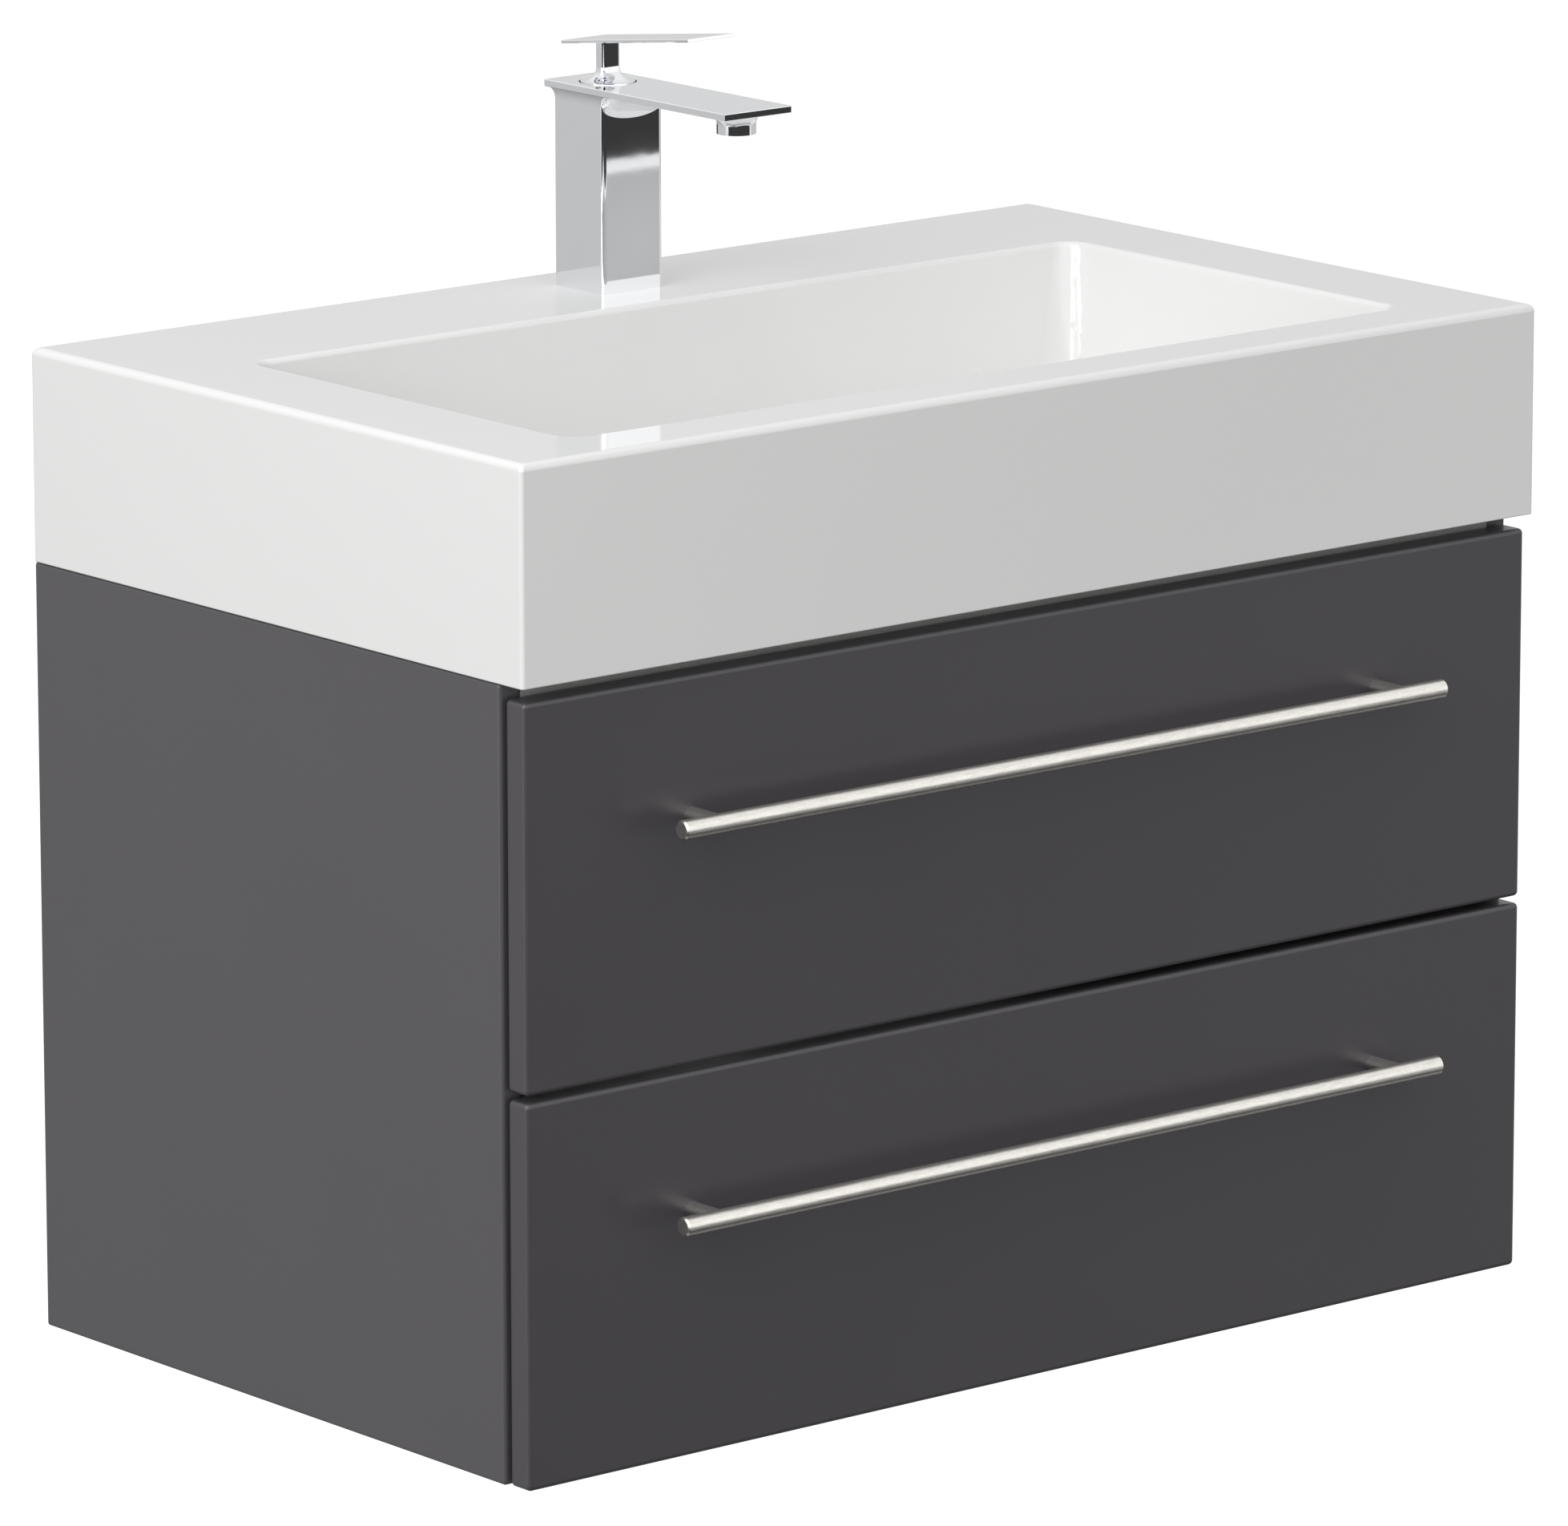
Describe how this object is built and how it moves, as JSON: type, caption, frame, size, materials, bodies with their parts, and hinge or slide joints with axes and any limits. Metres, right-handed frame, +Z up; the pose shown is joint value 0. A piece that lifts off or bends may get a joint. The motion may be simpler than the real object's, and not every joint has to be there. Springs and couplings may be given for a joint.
{
  "type": "bathroom vanity cabinet",
  "caption": "Wall-hung bathroom vanity: rectangular basin with a single-lever tap on a dark cabinet whose bar-handled drawers slide on telescopic runners.",
  "frame": {"origin": "on the wall plane, midway between the screw holes of the wall plates", "axes": "+X to the right seen from the front, +Y towards the wall, +Z up"},
  "size_m": [0.8, 0.5106, 0.7852],
  "materials": {
    "front_lacquer": "satin lacquer",
    "side_lacquer": "satin lacquer",
    "carcass_board": "matt laminate",
    "drawer_board": "matt laminate",
    "dowel": "matt",
    "basin_glaze": "gloss glaze",
    "tap_chrome": "polished",
    "waste_chrome": "polished",
    "handle_steel": "brushed",
    "runner_steel": "zinc plated",
    "fastener_steel": "zinc plated",
    "fitting_plastic": "matt",
    "glide_plastic": "matt",
    "guard_plastic": "matt",
    "seal_rubber": "matt",
    "bumper_rubber": "matt",
    "tap_brass": "turned"
  },
  "bodies": {
    "cabinet": {"side_panel_left": "side_lacquer", "side_panel_right": "side_lacquer", "bottom_panel": "carcass_board", "front_rail": "carcass_board", "rear_rail_top": "carcass_board", "rear_rail_bottom": "carcass_board", "dowels": "dowel", "cam_bolts": "fastener_steel", "cam_discs": "fastener_steel", "hangers": "fitting_plastic", "hanger_hooks": "fastener_steel", "wall_plates": "fastener_steel", "basin": "basin_glaze", "waste_body": "waste_chrome", "waste_seal": "seal_rubber", "waste_lower_seal": "seal_rubber", "waste_nut": "fitting_plastic", "tap_body": "tap_chrome", "tap_gasket": "seal_rubber", "tap_stud": "tap_brass", "tap_washer": "fastener_steel", "tap_nut": "tap_brass", "aerator": "fitting_plastic", "cartridge": "fitting_plastic", "cartridge_nut": "tap_brass", "runner_cabinet_members": "runner_steel", "runner_cabinet_screws": "fastener_steel"},
    "tap_rotor": {"cartridge_rotor": "tap_brass"},
    "tap_lever": {"lever": "tap_chrome", "lever_pin": "fastener_steel"},
    "upper_runner": {"upper_runner_middle": "runner_steel", "upper_runner_glides": "glide_plastic"},
    "upper_drawer": {"upper_front": "front_lacquer", "upper_side_left": "drawer_board", "upper_side_right": "drawer_board", "upper_bottom": "drawer_board", "upper_bumpers": "bumper_rubber", "upper_handle_bar": "handle_steel", "upper_handle_posts": "handle_steel", "upper_handle_screws": "fastener_steel", "upper_runner_drawer_members": "runner_steel", "upper_runner_screws": "fastener_steel", "upper_back_left": "drawer_board", "upper_back_right": "drawer_board", "upper_guard": "guard_plastic"},
    "lower_runner": {"lower_runner_middle": "runner_steel", "lower_runner_glides": "glide_plastic"},
    "lower_drawer": {"lower_front": "front_lacquer", "lower_side_left": "drawer_board", "lower_side_right": "drawer_board", "lower_bottom": "drawer_board", "lower_bumpers": "bumper_rubber", "lower_handle_bar": "handle_steel", "lower_handle_posts": "handle_steel", "lower_handle_screws": "fastener_steel", "lower_runner_drawer_members": "runner_steel", "lower_runner_screws": "fastener_steel", "lower_back": "drawer_board"}
  },
  "joints": [
    {"name": "upper_drawer_slide", "type": "slide", "parent": "cabinet", "child": "upper_drawer", "axis": [0, -1, 0], "range_m": [0, 0.35]},
    {"name": "upper_runner_slide", "type": "slide", "parent": "cabinet", "child": "upper_runner", "axis": [0, -1, 0], "range_m": [0, 0.175]},
    {"name": "lower_drawer_slide", "type": "slide", "parent": "cabinet", "child": "lower_drawer", "axis": [0, -1, 0], "range_m": [0, 0.35]},
    {"name": "lower_runner_slide", "type": "slide", "parent": "cabinet", "child": "lower_runner", "axis": [0, -1, 0], "range_m": [0, 0.175]},
    {"name": "temperature_turn", "type": "hinge", "parent": "cabinet", "child": "tap_rotor", "pos_m": [0, -0.062, 0.3042], "axis": [0, 0, 1], "range_deg": [-45, 45]},
    {"name": "flow_tilt", "type": "hinge", "parent": "tap_rotor", "child": "tap_lever", "pos_m": [0, -0.062, 0.3042], "axis": [-1, 0, 0], "range_deg": [0, 20]}
  ],
  "couplings": [
    {"joint": "upper_runner_slide", "follows": "upper_drawer_slide", "ratio": 0.5},
    {"joint": "lower_runner_slide", "follows": "lower_drawer_slide", "ratio": 0.5}
  ]
}
